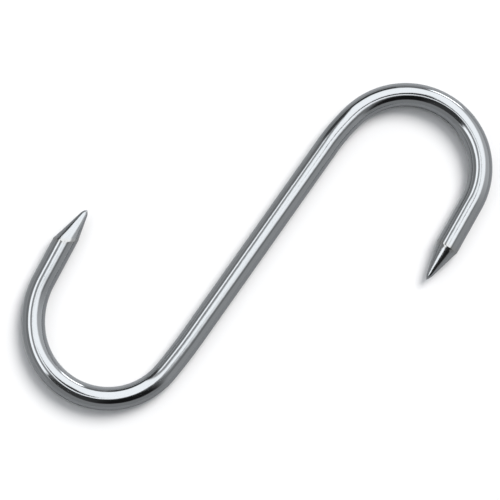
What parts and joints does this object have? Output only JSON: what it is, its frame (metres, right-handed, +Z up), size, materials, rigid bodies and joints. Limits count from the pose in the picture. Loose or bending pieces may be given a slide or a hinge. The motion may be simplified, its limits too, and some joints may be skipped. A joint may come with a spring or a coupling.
{
  "type": "meat hook",
  "caption": "S-shaped meat hook: one round stainless steel bar with a bend at each end and both ends ground to points, lying flat.",
  "frame": {"origin": "centre of the underside of the bounding box, on the surface that the hook lies on", "axes": "+Y along the shank towards the upper bend, +Z up through the thickness of the bar, +X towards the side of the upper point"},
  "size_m": [0.1152, 0.16, 0.008],
  "materials": {
    "polished_steel": "polished"
  },
  "bodies": {
    "root": {"hook_bar": "polished_steel"}
  },
  "joints": []
}
